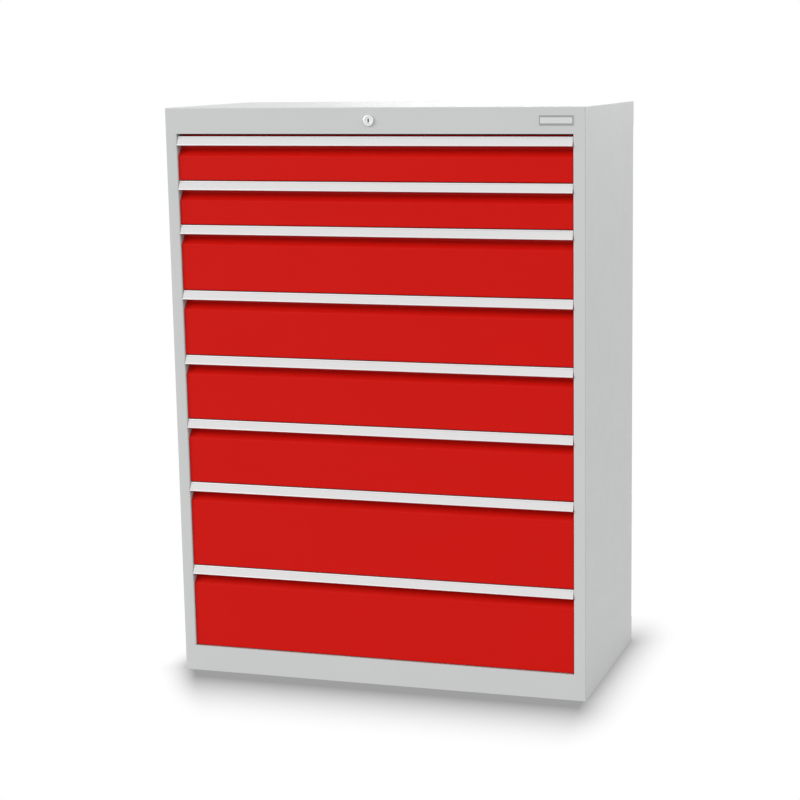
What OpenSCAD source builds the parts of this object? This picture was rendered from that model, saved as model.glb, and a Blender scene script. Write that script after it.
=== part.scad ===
// Floor-standing workshop cabinet: folded steel housing, drawers on full-extension runners,
// aluminium grips, and one lock in the top rail that holds every drawer shut.
// Millimetres. X runs from left to right, Y from front to back and Z up.
// The origin is the middle of the overall footprint, on the floor.

/* [Housing] */
// Overall width, across the top cover and the plinth
cabinet_w = 976; // [700:1:1300]
// Depth of the housing, from the front rail to the rear skirt
cabinet_d = 500; // [470:1:700]
// Height of the top cover's front rail and skirts
top_rail_h = 58; // [50:1:90]
// Height of the plinth
plinth_h = 60; // [40:1:120]
// Width of each front post
post_w = 27; // [20:0.5:45]
// Depth of the return behind each post's inner edge
post_return = 24; // [18:1:40]
// Width of the lip that closes each post
post_lip = 12; // [6:1:16]
// Width of each side panel's rear flange
rear_flange = 22; // [16:1:40]
// Width of the plinth's bottom flange
floor_flange = 30; // [24:1:80]
// Height of the floor pan's side flanges
pan_flange = 25; // [12:1:35]
// Sheet thickness of the housing
sheet_t = 1.5; // [1:0.1:2]
// Inner radius of the housing's folds
fold_r = 0.8; // [0.5:0.1:3]
// Gap between the front rails' returns and the posts
return_gap = 0.3; // [0.1:0.1:1]
// Gap left between sheets that are riveted or welded together
seat_gap = 0.1; // [0.05:0.05:0.3]

/* [Drawer grid] */
// Height of the grid for each of the two upper drawers
low_pitch = 100; // [90:5:150]
// Height of the grid for each of the four middle drawers
mid_pitch = 150; // [100:5:250]
// Height of the grid for each of the two lower drawers
tall_pitch = 200; // [100:5:300]
// Gap between the top rail and the first front
head_gap = 2.5; // [1.5:0.5:8]
// How far the lowest grid line lies below the plinth's upper edge
plinth_lap = 4; // [0:0.5:6]
// Gap between each front and the grip or plinth below it
front_gap = 1.5; // [1:0.1:4]
// Gap between each front and the posts beside it
side_gap = 1.25; // [0.5:0.05:3]

/* [Drawer fronts] */
// Sheet thickness of the fronts
front_t = 1.2; // [0.8:0.1:2]
// Setback of the fronts behind the front rails
front_setback = 4; // [2:0.5:12]
// Depth of the finger recess behind the front's face
recess_d = 16; // [12:0.5:25]
// Height of the sloping lower part of the finger recess
recess_slope = 24; // [12:1:30]
// Depth of the flange under each front
front_flange = 12; // [6:1:14]
// Depth of the flange over each tray's front wall
head_flange = 14; // [8:1:20]
// How far the first front rises above its grip, behind the gap under the top rail
first_rise = 3.5; // [0:0.5:8]

/* [Trays] */
// Clear depth of each tray
tray_depth = 400; // [300:1:410]
// Sheet thickness of the trays
tray_t = 1; // [0.8:0.1:1.5]
// Height of the tray's floor above the front's lower edge
tray_lift = 8; // [4:1:15]
// Drop from the grip's upper edge to the tray's rim
tray_drop = 15; // [10:1:25]
// Height of the doubled rim along the tray's sides
rim_h = 9; // [5:1:14]

/* [Grips] */
// Height of the grip's face
grip_h = 19.5; // [16:0.5:28]
// How far the face leans forward at its lower edge
grip_lean = 8; // [4:0.5:12]
// Wall behind the label channel
grip_wall = 1.6; // [1.2:0.1:2.5]
// Thickness of the grip's upper web and rear leg
grip_web = 2; // [1.5:0.1:3]
// Height of the rear leg
grip_leg = 12; // [8:1:16]
// Height of each lip of the label channel
lip_h = 2.4; // [1.5:0.1:4]
// Thickness of the lips
lip_t = 0.8; // [0.5:0.1:1.2]
// How far the label channel reaches behind each lip
lip_undercut = 1; // [0.5:0.1:1.4]
// Depth of the label channel, from the front of the lips
channel_d = 1.6; // [1.4:0.1:2.2]

/* [Runners] */
// Width of a runner, between the upright and the tray
runner_w = 12.7; // [11:0.1:16]
// Height of a runner's outer member
runner_h = 45; // [35:1:55]
// Height of the runners above the tray's floor
runner_lift = 14; // [8:1:18]
// How much longer the runners are than the tray's clear depth
runner_extra = 20; // [10:1:25]
// Distance of the runners behind the tray's front wall
runner_start = 2; // [1:0.5:8]
// Sheet thickness of the rails
rail_t = 1.5; // [1:0.1:1.8]
// Running gap between nested rails
rail_gap = 0.4; // [0.3:0.05:0.6]
// Inner radius of the rails' folds
rail_r = 0.8; // [0.4:0.1:1.2]
// Width of each runner upright
upright_w = 30; // [20:1:50]
// Distance of the uprights from the posts and from the rear ends of the runners
upright_inset = 6; // [3:1:20]

/* [Lock] */
// Diameter of the lock's rosette
rosette_d = 24; // [22:0.5:28]
// How far the rosette stands out from the top rail
rosette_h = 4; // [2.5:0.5:6]
// Diameter of the threaded lock body
lock_body_d = 19; // [16:0.5:20]
// Length of the lock body behind the rail's face
lock_body_l = 22; // [15:1:30]
// Width across the flats of the lock nut
nut_flats = 24; // [22:0.5:27]
// Thickness of the lock nut
nut_t = 5; // [3:0.5:8]
// Diameter of the barrel
barrel_d = 14; // [12:0.5:14.5]
// Recess of the barrel in the rosette
barrel_recess = 0.6; // [0.2:0.1:1.5]
// How far the barrel reaches behind the lock body
barrel_tail = 2.5; // [1:0.5:5]
// Width of the keyhole
keyhole_w = 2.2; // [1.5:0.1:3]
// Height of the keyhole
keyhole_h = 8; // [5:0.5:10]
// Depth of the keyhole
keyhole_depth = 6; // [4:0.5:12]
// Diameter of the lock shaft
shaft_d = 8; // [6:0.5:10]
// Radius of the crank, from the shaft to its pin
crank_r = 14; // [12:0.5:16]
// Turn of the lock from open to locked
lock_turn = 90; // [60:5:90]
// Thickness of the crank
crank_t = 4; // [3:0.5:6]
// Wall of the crank around the shaft
crank_wall = 3; // [2:0.5:5]
// Diameter of the crank pin
crank_pin_d = 6; // [4:0.5:7]
// Wall of the crank's arm around the pin
pin_wall = 1.5; // [1:0.25:2.5]
// Play of the crank pin in the lock bar's slot
slot_play = 0.7; // [0.6:0.05:1]
// Radial clearance of turning and fixed round fits
round_fit = 0.05; // [0.02:0.01:0.08]
// Width of the shaft bracket
bracket_w = 40; // [28:1:60]
// Depth of the shaft bracket's upper flange
bracket_depth = 30; // [15:1:60]
// Distance of the shaft bracket in front of the crank
bracket_gap = 6; // [3:0.5:12]

/* [Lock bar] */
// Width of the lock bar
bar_w = 30; // [26:1:40]
// Thickness of the lock bar
bar_t = 4; // [3:0.5:6]
// Gap between the lock bar and the parts that guide it
bar_gap = 0.4; // [0.3:0.05:0.8]
// Margin of the lock bar beyond its slot and its lowest hook
bar_margin = 6; // [4:0.5:10]
// Width of each hook
hook_w = 12; // [8:1:20]
// Thickness of a hook's arm and tooth
hook_t = 4; // [3:0.5:6]
// Reach of the hooks in front of the lock bar
hook_reach = 18; // [14:0.5:24]
// Gap between hooks and catches
catch_gap = 2.5; // [2:0.1:4]
// Sheet thickness of the catches
catch_t = 2; // [1.5:0.1:3]
// Width of each catch
catch_w = 16; // [10:1:30]
// Drop from the tray's rim to the top of its catch
catch_drop = 6; // [3:0.5:10]
// Height of the flange that fixes each catch to its tray
catch_flange = 12; // [8:1:16]
// Height of each guide strap
guide_h = 16; // [10:1:24]
// Width of the feet of each guide strap
guide_foot = 12; // [8:1:20]
// Inner fold radius of the guide straps
guide_r = 0.6; // [0.4:0.1:1]

/* [Badge and rivets] */
// Width of the badge plate
badge_w = 75; // [40:1:100]
// Height of the badge plate
badge_h = 21; // [14:0.5:28]
// Thickness of the badge plate
badge_t = 1.2; // [0.8:0.1:2]
// Height of the badge plate's raised rim
badge_rim_h = 0.4; // [0.2:0.1:0.6]
// Width of the badge plate's raised rim at its two ends
badge_rim_w = 2; // [1:0.1:4]
// Height of the raised bars along the badge plate's upper and lower edges
badge_bar_h = 4; // [1:0.5:6]
// Corner radius of the badge plate
badge_r = 0.8; // [0.2:0.1:3]
// Distance of the badge plate from the drawer opening's right edge
badge_inset = 0; // [0:1:60]
// Diameter of the rivet shanks
rivet_d = 4; // [3:0.1:5]
// Diameter of the rivet heads
rivet_head_d = 8; // [6.5:0.1:10]
// Height of the rivet heads
rivet_head_h = 1; // [0.6:0.1:1]
// Rivets on each side of the back panel
rivet_rows = 8; // [3:1:14]
// Distance of the end rivets from the top cover and the plinth
rivet_margin = 40; // [20:1:80]

/* [Hidden] */
$fn = 48;
// Flat steps that make up one fold
fold_steps = 3;
// Overshoot of a cut beyond the face that it opens
cut = 1;

pitches = [
    low_pitch, low_pitch,
    mid_pitch, mid_pitch, mid_pitch, mid_pitch,
    tall_pitch, tall_pitch
];
drawers = len(pitches);
last_drawer = drawers - 1;
// Drawers whose hooks have a guide strap below them
guided = [0, 3, last_drawer];
function grid_drop(k) = k == 0 ? 0 : pitches[k - 1] + grid_drop(k - 1);

// Housing
cabinet_h = top_rail_h + head_gap + first_rise + grid_drop(drawers) - plinth_lap + plinth_h;
rail_low = cabinet_h - top_rail_h;
// How far the foremost piece stands out from the front rails
proud = max(rosette_h, grip_lean - front_setback);
front_y = -(cabinet_d - proud) / 2;
back_y = front_y + cabinet_d;
core_w = cabinet_w - 2 * sheet_t;
rail_in = front_y + sheet_t;
post_back = front_y + post_return;
panel_y = back_y - sheet_t;
panel_in = panel_y - sheet_t;
flange_in = panel_in - sheet_t;
opening_w = cabinet_w - 2 * post_w;
outer_r = fold_r + sheet_t;
core_low = sheet_t;
core_high = cabinet_h - sheet_t;
// Edges of the inner sheets, which end where the folds around them begin
panel_high = core_high - fold_r;
back_w = core_w - 2 * fold_r;
pan_back = flange_in - fold_r;

// Fronts and grips
front_w = opening_w - 2 * side_gap;
face_y = front_y + front_setback;
recess_y = face_y + recess_d;
function grip_top(i) = rail_low - head_gap - first_rise - grid_drop(i);
function head_top(i) = grip_top(i) + (i == 0 ? first_rise : 0);
function grip_low(i) = grip_top(i) - grip_h;
function front_low(i) = front_gap + (i == last_drawer ? plinth_h : grip_top(i + 1));
grip_l = norm([grip_lean, grip_h]);
grip_along = [-grip_lean, -grip_h] / grip_l;
grip_inward = [grip_h, -grip_lean] / grip_l;
grip_depth = channel_d + grip_wall;

// Trays
tray_w = opening_w - 2 * runner_w;
tray_y = recess_y + front_t;
tray_back = tray_y + tray_depth + 2 * tray_t;
// Distance of the floor and sides from the outer faces of the walls that they are welded to
tray_inset = tray_t + seat_gap;
function tray_low(i) = front_low(i) + tray_lift;
function tray_top(i) = grip_top(i) - tray_drop;
function wall_top(i) = head_top(i) - front_t - fold_r;

// Runners
runner_y = tray_y + runner_start;
runner_back = runner_y + tray_depth + runner_extra;
rail_step = rail_t + rail_gap;
function runner_low(i) = tray_low(i) + runner_lift;

// Lock
lock_z = rail_low + top_rail_h / 2;
swing = lock_turn / 2;
lock_lift = 2 * crank_r * sin(swing);
pin_x = -crank_r * cos(swing);
pin_z = lock_z - crank_r * sin(swing);
slot_l = crank_r * (1 - cos(swing)) + crank_pin_d + 2 * slot_play;
slot_h = crank_pin_d + 2 * slot_play;
bar_x = -crank_r * (1 + cos(swing)) / 2;
bar_back = panel_in - bar_gap;
bar_y = bar_back - bar_t;
crank_y = bar_y - bar_gap - crank_t;
crank_boss = shaft_d + 2 * crank_wall;
crank_arm_w = crank_pin_d + 2 * pin_wall;
barrel_y = front_y - rosette_h + barrel_recess;
barrel_back = front_y + lock_body_l + barrel_tail;
bracket_y = crank_y - bracket_gap;
bracket_low = lock_z - crank_boss;

// Hooks and catches
tooth_y = bar_y - hook_reach;
catch_back = tooth_y + hook_t + catch_gap + catch_t;
catch_lip = lock_lift + catch_gap;
function catch_top(i) = tray_top(i) - catch_drop;
function catch_low(i) = catch_top(i) - catch_t - catch_lip;
function tooth_top(i) = catch_low(i) - catch_gap;
function arm_top(i) = catch_low(i) - lock_lift - catch_gap;
function arm_low(i) = arm_top(i) - hook_t;

function drawer_node(i, piece) = str("drawer_", i + 1, "_", piece);
DRAWER_PIECES = ["front", "grip", "tray", "inner_rails", "middle_rails"];

// Colours of the finishes
grey_paint = [0.78, 0.79, 0.79];
red_paint = [0.79, 0.11, 0.09];
bare_aluminium = [0.88, 0.87, 0.87];
zinc = [0.62, 0.64, 0.66];
chrome = [0.80, 0.80, 0.82];

// Outline of a folded sheet: the path runs along one face and the sheet lies on its left
function unit(v) = v / norm(v);
function left_of(v) = [-v[1], v[0]];
function turned(v, a) = [v[0] * cos(a) - v[1] * sin(a), v[0] * sin(a) + v[1] * cos(a)];
function turn(a, b) = atan2(a[0] * b[1] - a[1] * b[0], a * b);
function fold(path, i, t, r, far_face) =
    let (
        before = unit(path[i] - path[i - 1]),
        after = unit(path[i + 1] - path[i]),
        angle = turn(before, after),
        side = sign(angle),
        path_r = side > 0 ? r + t : r,
        far_r = side > 0 ? r : r + t,
        arc_r = far_face ? far_r : path_r,
        centre = path[i] - before * path_r * tan(abs(angle) / 2) + left_of(before) * side * path_r
    )
    [for (k = [0:fold_steps]) centre - turned(left_of(before), angle * k / fold_steps) * side * arc_r];
function backwards(list) = [for (k = [len(list) - 1:-1:0]) list[k]];
function folded(path, t, r) =
    let (
        end = len(path) - 1,
        near = [for (i = [1:end - 1]) each fold(path, i, t, r, false)],
        far = [for (i = [1:end - 1]) each fold(path, i, t, r, true)],
        start_dir = unit(path[1] - path[0]),
        end_dir = unit(path[end] - path[end - 1])
    )
    concat(
        [path[0]], near, [path[end]],
        [path[end] + left_of(end_dir) * t], backwards(far), [path[0] + left_of(start_dir) * t]
    );

// Outline of a rectangle with its own radius at each corner, from the lower left anticlockwise
function arc_angle(from, k) = from + 90 * k / fold_steps;
function corner(centre, r, from) =
    r > 0
    ? [for (k = [0:fold_steps]) centre + r * [cos(arc_angle(from, k)), sin(arc_angle(from, k))]]
    : [centre];
function rounded(lo, hi, r) = concat(
    corner([lo[0] + r[0], lo[1] + r[0]], r[0], 180),
    corner([hi[0] - r[1], lo[1] + r[1]], r[1], 270),
    corner([hi[0] - r[2], hi[1] - r[2]], r[2], 0),
    corner([lo[0] + r[3], hi[1] - r[3]], r[3], 90)
);

// Extrusions of a flat outline along each axis, and a round bar along Y
module along_x(x0, x1) {
    translate([x0, 0, 0]) rotate([90, 0, 90]) linear_extrude(x1 - x0) children();
}
module along_y(y0, y1) {
    translate([0, y1, 0]) rotate([90, 0, 0]) linear_extrude(y1 - y0) children();
}
module along_z(z0, z1) {
    translate([0, 0, z0]) linear_extrude(z1 - z0) children();
}
module centred_x(x, w) {
    along_x(x - w / 2, x + w / 2) children();
}
module box(lo, hi) {
    translate(lo) cube(hi - lo);
}
module rod_y(x, z, d, y0, y1) {
    translate([x, y1, z]) rotate([90, 0, 0]) cylinder(d = d, h = y1 - y0);
}
module both_sides() {
    children();
    mirror([1, 0, 0]) children();
}

// Block with rounded upright corners and rounded upper edges
module folded_block(lo, hi, r) {
    intersection() {
        along_x(lo[0], hi[0]) polygon(rounded([lo[1], lo[2]], [hi[1], hi[2]], [0, 0, r, r]));
        along_y(lo[1], hi[1]) polygon(rounded([lo[0], lo[2]], [hi[0], hi[2]], [0, 0, r, r]));
        along_z(lo[2], hi[2]) polygon(rounded([lo[0], lo[1]], [hi[0], hi[1]], [r, r, r, r]));
    }
}

// Flange behind a front rail, between the posts
module rail_return(z) {
    half = opening_w / 2 - return_gap;
    box([-half, front_y + sheet_t / 2, z], [half, post_back, z + sheet_t]);
}

// Places of the rivets on one side of the back panel
module rivet_places() {
    low = plinth_h + rivet_margin;
    high = rail_low - rivet_margin;
    for (k = [0:rivet_rows - 1])
        translate([-core_w / 2 + rear_flange / 2, 0, low + (high - low) * k / (rivet_rows - 1)])
            children();
}
module rivet_holes() {
    rivet_places() rod_y(0, 0, rivet_d + 2 * round_fit, flange_in - cut, panel_y + cut);
}

// Side panel: rear flange, side, front post with its return and lip
module side_panel() {
    x = -cabinet_w / 2;
    path = [
        [x + rear_flange, panel_in], [x, panel_in], [x, front_y], [-opening_w / 2, front_y],
        [-opening_w / 2, post_back], [-opening_w / 2 - post_lip, post_back]
    ];
    difference() {
        along_z(plinth_h, rail_low) polygon(folded(path, sheet_t, fold_r));
        rivet_holes();
    }
}
module left_side_panel() {
    color(grey_paint) side_panel();
}
module right_side_panel() {
    color(grey_paint) mirror([1, 0, 0]) side_panel();
}

// Top cover: pan flush with the side panels below it, with a hole for the lock and a return under its rail
module top_cover() {
    half = cabinet_w / 2;
    color(grey_paint) union() {
        difference() {
            folded_block([-half, front_y, rail_low], [half, back_y, cabinet_h], outer_r);
            folded_block(
                [-half + sheet_t, front_y + sheet_t, rail_low - cut],
                [half - sheet_t, back_y - sheet_t, cabinet_h - sheet_t], fold_r
            );
            rod_y(0, lock_z, lock_body_d + 2 * round_fit, front_y - cut, rail_in + cut);
        }
        rail_return(rail_low);
    }
}

// Plinth: ring flush with the side panels above it, with a bottom flange and a return over its front rail
module plinth() {
    half = cabinet_w / 2;
    lo = [-half, front_y];
    hi = [half, back_y];
    wall = [sheet_t, sheet_t];
    flange = [floor_flange, floor_flange];
    corners = [outer_r, outer_r, outer_r, outer_r];
    inner_corners = [fold_r, fold_r, fold_r, fold_r];
    color(grey_paint) union() {
        along_z(0, plinth_h) difference() {
            polygon(rounded(lo, hi, corners));
            polygon(rounded(lo + wall, hi - wall, inner_corners));
        }
        along_z(0, sheet_t) difference() {
            polygon(rounded(lo, hi, corners));
            polygon(rounded(lo + flange, hi - flange, inner_corners));
        }
        rail_return(plinth_h - sheet_t);
    }
}

// Floor pan inside the plinth, with its sides folded down
module floor_pan() {
    x = core_w / 2;
    low = plinth_h - pan_flange;
    path = [[x, low], [x, plinth_h], [-x, plinth_h], [-x, low]];
    color(grey_paint) along_y(post_back, pan_back) polygon(folded(path, sheet_t, fold_r));
}

// Back panel on the rear flanges, and its blind rivets
module back_panel() {
    color(grey_paint) difference() {
        box([-back_w / 2, panel_in, core_low], [back_w / 2, panel_y, panel_high]);
        both_sides() rivet_holes();
    }
}
module back_panel_rivets() {
    color(zinc) both_sides() rivet_places() {
        rod_y(0, 0, rivet_d, flange_in - rivet_head_h, panel_y + rivet_head_h / 2);
        rod_y(0, 0, rivet_head_d, panel_y, panel_y + rivet_head_h);
        rod_y(0, 0, rivet_d + rivet_head_h, flange_in - rivet_head_h, flange_in);
    }
}

// Runner uprights of one side: two channels, open towards the side panel
module upright(y0, y1) {
    x_side = -core_w / 2;
    x_face = -opening_w / 2;
    path = [[x_side, y0], [x_face, y0], [x_face, y1], [x_side, y1]];
    along_z(plinth_h, rail_low) polygon(folded(path, sheet_t, fold_r));
}
module uprights() {
    front = post_back + upright_inset;
    rear = runner_back - upright_inset;
    upright(front, front + upright_w);
    upright(rear - upright_w, rear);
}
module left_uprights() {
    color(zinc) uprights();
}
module right_uprights() {
    color(zinc) mirror([1, 0, 0]) uprights();
}

// The three nested members of a left-hand runner
module rail(path) {
    along_y(runner_y, runner_back) polygon(folded(path, rail_t, rail_r));
}
module cabinet_rail(i) {
    x = -opening_w / 2;
    tip = x + runner_w - rail_t - 3 * rail_gap;
    low = runner_low(i);
    high = low + runner_h;
    rail([[tip, high], [x, high], [x, low], [tip, low]]);
}
module middle_rail(i) {
    x = -opening_w / 2 + rail_step;
    tip = -tray_w / 2 - rail_t - 2 * rail_gap;
    low = runner_low(i) + rail_step;
    high = runner_low(i) + runner_h - rail_step;
    rail([[tip, high], [x, high], [x, low], [tip, low]]);
}
module inner_rail(i) {
    x = -tray_w / 2;
    tip = -opening_w / 2 + 2 * rail_step;
    low = runner_low(i) + 2 * rail_step;
    high = runner_low(i) + runner_h - 2 * rail_step;
    rail([[tip, low], [x, low], [x, high], [tip, high]]);
}
module cabinet_rails() {
    for (i = [0:last_drawer]) cabinet_rail(i);
}
module left_cabinet_rails() {
    color(zinc) cabinet_rails();
}
module right_cabinet_rails() {
    color(zinc) mirror([1, 0, 0]) cabinet_rails();
}
module middle_rails(i) {
    color(zinc) both_sides() middle_rail(i);
}
module inner_rails(i) {
    color(zinc) both_sides() inner_rail(i);
}

// Badge plate: a bare plate between two raised bars and two raised ends
module badge_plate() {
    right = opening_w / 2 - badge_inset;
    lo = [right - badge_w, lock_z - badge_h / 2];
    hi = [right, lock_z + badge_h / 2];
    rim = [badge_rim_w, badge_bar_h];
    round = [badge_r, badge_r, badge_r, badge_r];
    color(bare_aluminium) difference() {
        along_y(front_y - badge_t, front_y) polygon(rounded(lo, hi, round));
        along_y(front_y - badge_t - cut, front_y - badge_t + badge_rim_h)
            polygon(rounded(lo + rim, hi - rim, [0, 0, 0, 0]));
    }
}

// Lock: rosette with threaded body, nut, barrel with keyhole, shaft and crank
module lock_housing() {
    color(chrome) difference() {
        union() {
            rod_y(0, lock_z, rosette_d, front_y - rosette_h, front_y);
            rod_y(0, lock_z, lock_body_d, front_y - rosette_h / 2, front_y + lock_body_l);
        }
        rod_y(0, lock_z, barrel_d + 2 * round_fit, front_y - rosette_h - cut, front_y + lock_body_l + cut);
    }
}
module lock_nut() {
    color(zinc) difference() {
        translate([0, rail_in + nut_t, lock_z]) rotate([90, 0, 0])
            cylinder(d = nut_flats / cos(30), h = nut_t, $fn = 6);
        rod_y(0, lock_z, lock_body_d + 2 * round_fit, rail_in - cut, rail_in + nut_t + cut);
    }
}
module lock_barrel() {
    color(chrome) difference() {
        rod_y(0, lock_z, barrel_d, barrel_y, barrel_back);
        box(
            [-keyhole_w / 2, barrel_y - cut, lock_z - keyhole_h / 2],
            [keyhole_w / 2, barrel_y + keyhole_depth, lock_z + keyhole_h / 2]
        );
    }
}
module lock_shaft() {
    color(zinc) rod_y(0, lock_z, shaft_d, barrel_back, crank_y + crank_t);
}
module lock_crank() {
    root = (shaft_d + crank_wall) / 2;
    tip = crank_r + crank_arm_w / 2;
    color(zinc) difference() {
        union() {
            rod_y(0, lock_z, crank_boss, crank_y, crank_y + crank_t);
            translate([0, crank_y, lock_z]) rotate([0, 180 - swing, 0])
                box([root, 0, -crank_arm_w / 2], [tip, crank_t, crank_arm_w / 2]);
            rod_y(pin_x, pin_z, crank_pin_d, crank_y, bar_back);
        }
        rod_y(0, lock_z, shaft_d + 2 * round_fit, crank_y - cut, crank_y + crank_t + cut);
    }
}
module shaft_bracket() {
    path = [[bracket_y, bracket_low], [bracket_y, core_high], [bracket_y - bracket_depth, core_high]];
    color(zinc) difference() {
        centred_x(0, bracket_w) polygon(folded(path, sheet_t, fold_r));
        rod_y(0, lock_z, shaft_d + 2 * round_fit, bracket_y - sheet_t - cut, bracket_y + cut);
    }
}

// Lock bar with its crank slot and one hook for each drawer
module hook(i) {
    root = bar_y - seat_gap;
    outline = [
        [root, arm_low(i)], [root, arm_top(i)], [tooth_y + hook_t, arm_top(i)],
        [tooth_y + hook_t, tooth_top(i)], [tooth_y, tooth_top(i)], [tooth_y, arm_low(i)]
    ];
    centred_x(bar_x, hook_w) polygon(outline);
}
module lock_bar() {
    low = arm_low(last_drawer) - bar_margin;
    high = pin_z + slot_h / 2 + bar_margin;
    color(zinc) {
        difference() {
            box([bar_x - bar_w / 2, bar_y, low], [bar_x + bar_w / 2, bar_back, high]);
            box(
                [bar_x - slot_l / 2, bar_y - cut, pin_z - slot_h / 2],
                [bar_x + slot_l / 2, bar_back + cut, pin_z + slot_h / 2]
            );
        }
        for (i = [0:last_drawer]) hook(i);
    }
}
module guide_strap(i) {
    half = bar_w / 2 + bar_gap;
    y = bar_y - bar_gap;
    high = arm_low(i) - bar_margin / 2;
    path = [
        [bar_x + half + guide_foot, panel_in], [bar_x + half, panel_in], [bar_x + half, y],
        [bar_x - half, y], [bar_x - half, panel_in], [bar_x - half - guide_foot, panel_in]
    ];
    along_z(high - guide_h, high) polygon(folded(path, sheet_t, guide_r));
}
module lock_bar_guides() {
    color(zinc) for (i = guided) guide_strap(i);
}

// Drawer front: flange over the tray, recess behind the grip, slope, face and lower flange
module front(i) {
    low = front_low(i);
    top = head_top(i);
    path = [
        [recess_y + head_flange, top], [recess_y, top], [recess_y, grip_low(i)],
        [face_y, grip_low(i) - recess_slope], [face_y, low], [face_y + front_flange, low]
    ];
    color(red_paint) centred_x(0, front_w) polygon(folded(path, front_t, fold_r));
}

// Grip: leaning face with a label channel between two lips, upper web and rear leg
module grip(i) {
    top = grip_top(i);
    under = top - grip_web;
    upper = [face_y, top];
    function at(s, d) = upper + grip_along * s + grip_inward * d;
    web_s = (grip_web + grip_inward[1] * grip_depth) / -grip_along[1];
    outline = [
        at(0, 0), at(lip_h, 0), at(lip_h, lip_t), at(lip_h - lip_undercut, lip_t),
        at(lip_h - lip_undercut, channel_d), at(grip_l - lip_h + lip_undercut, channel_d),
        at(grip_l - lip_h + lip_undercut, lip_t), at(grip_l - lip_h, lip_t), at(grip_l - lip_h, 0),
        at(grip_l, 0), at(grip_l, grip_depth), at(web_s, grip_depth),
        [recess_y - grip_web, under], [recess_y - grip_web, top - grip_leg],
        [recess_y, top - grip_leg], [recess_y, top]
    ];
    color(bare_aluminium) centred_x(0, front_w) polygon(outline);
}

// Tray: floor between two sides with a doubled rim, front and rear walls, and the catch behind it
module tray_side(i) {
    x = -tray_w / 2;
    low = tray_low(i);
    top = tray_top(i);
    outline = [
        [x, low], [x + tray_t, low], [x + tray_t, top],
        [x - tray_t, top], [x - tray_t, top - rim_h], [x, top - rim_h]
    ];
    along_y(tray_y + tray_inset, tray_back - tray_inset) polygon(outline);
}
module catch(i) {
    top = catch_top(i);
    seat = tray_back + seat_gap;
    path = [
        [catch_back, catch_low(i)], [catch_back, top],
        [seat, top], [seat, top - catch_flange]
    ];
    centred_x(bar_x, catch_w) polygon(folded(path, catch_t, fold_r));
}
module tray(i) {
    x = tray_w / 2;
    floor_x = x - tray_inset;
    low = tray_low(i);
    color(grey_paint) {
        box([-floor_x, tray_y + tray_inset, low], [floor_x, tray_back - tray_inset, low + tray_t]);
        both_sides() tray_side(i);
        box([-x, tray_y, low], [x, tray_y + tray_t, wall_top(i)]);
        box([-x, tray_back - tray_t, low], [x, tray_back, tray_top(i)]);
        catch(i);
    }
}

left_side_panel();
right_side_panel();
top_cover();
plinth();
floor_pan();
back_panel();
back_panel_rivets();
left_uprights();
right_uprights();
left_cabinet_rails();
right_cabinet_rails();
badge_plate();
lock_housing();
lock_nut();
shaft_bracket();
lock_bar_guides();
lock_barrel();
lock_shaft();
lock_crank();
lock_bar();
for (i = [0:last_drawer]) {
    front(i);
    grip(i);
    tray(i);
    inner_rails(i);
    middle_rails(i);
}
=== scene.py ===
"""Looks of a floor-standing workshop cabinet: powder-coated sheet, aluminium grips and a chromed lock."""

import math

import bpy
from mathutils import Matrix, Vector


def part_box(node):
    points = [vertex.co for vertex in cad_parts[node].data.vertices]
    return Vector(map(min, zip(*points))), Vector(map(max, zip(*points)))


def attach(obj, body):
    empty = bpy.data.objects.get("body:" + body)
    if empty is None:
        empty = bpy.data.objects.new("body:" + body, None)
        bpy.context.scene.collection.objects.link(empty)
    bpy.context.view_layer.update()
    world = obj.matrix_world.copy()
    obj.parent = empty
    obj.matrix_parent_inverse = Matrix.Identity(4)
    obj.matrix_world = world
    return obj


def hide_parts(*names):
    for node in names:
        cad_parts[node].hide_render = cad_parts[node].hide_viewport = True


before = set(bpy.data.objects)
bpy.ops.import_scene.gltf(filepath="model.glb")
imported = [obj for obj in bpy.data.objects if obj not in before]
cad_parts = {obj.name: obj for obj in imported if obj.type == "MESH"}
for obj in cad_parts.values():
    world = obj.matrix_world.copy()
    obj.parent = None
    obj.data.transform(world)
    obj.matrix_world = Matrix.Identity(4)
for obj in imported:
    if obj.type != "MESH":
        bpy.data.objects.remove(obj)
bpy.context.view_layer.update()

# Sizes of the folded sheets, in metres
HOUSING_SHEET = 0.0015
FRONT_SHEET = 0.0012
FOLD_RADIUS = 0.0008
FOLD_SEGMENTS = 5
CUT_EDGE = 0.00025
SEAM_EDGE = 0.00008
REAR_FLANGE = 0.022
POST_RETURN = 0.024
POST_LIP = 0.012
FLOOR_FLANGE = 0.030
RETURN_GAP = 0.0003

# Sizes of the drawer fronts and their grips
HEAD_FLANGE = 0.014
FRONT_FLANGE = 0.012
RECESS_WALL = 0.008
RECESS_SLOPE = 0.017
GRIP_HEIGHT = 0.0195
GRIP_LEAN = 0.008
GRIP_WALL = 0.0016
GRIP_WEB = 0.002
GRIP_LEG = 0.012
LIP_HEIGHT = 0.0024
LIP_SHEET = 0.0008
LIP_UNDERCUT = 0.001
CHANNEL_DEPTH = 0.0016
GRIP_EDGE = 0.0002
LABEL_SHEET = 0.0005
LABEL_PLAY = 0.0001
LABEL_CROWN = 0.0001
LABEL_BENDS = 6
LABEL_EDGE = LABEL_SHEET / 5

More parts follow.
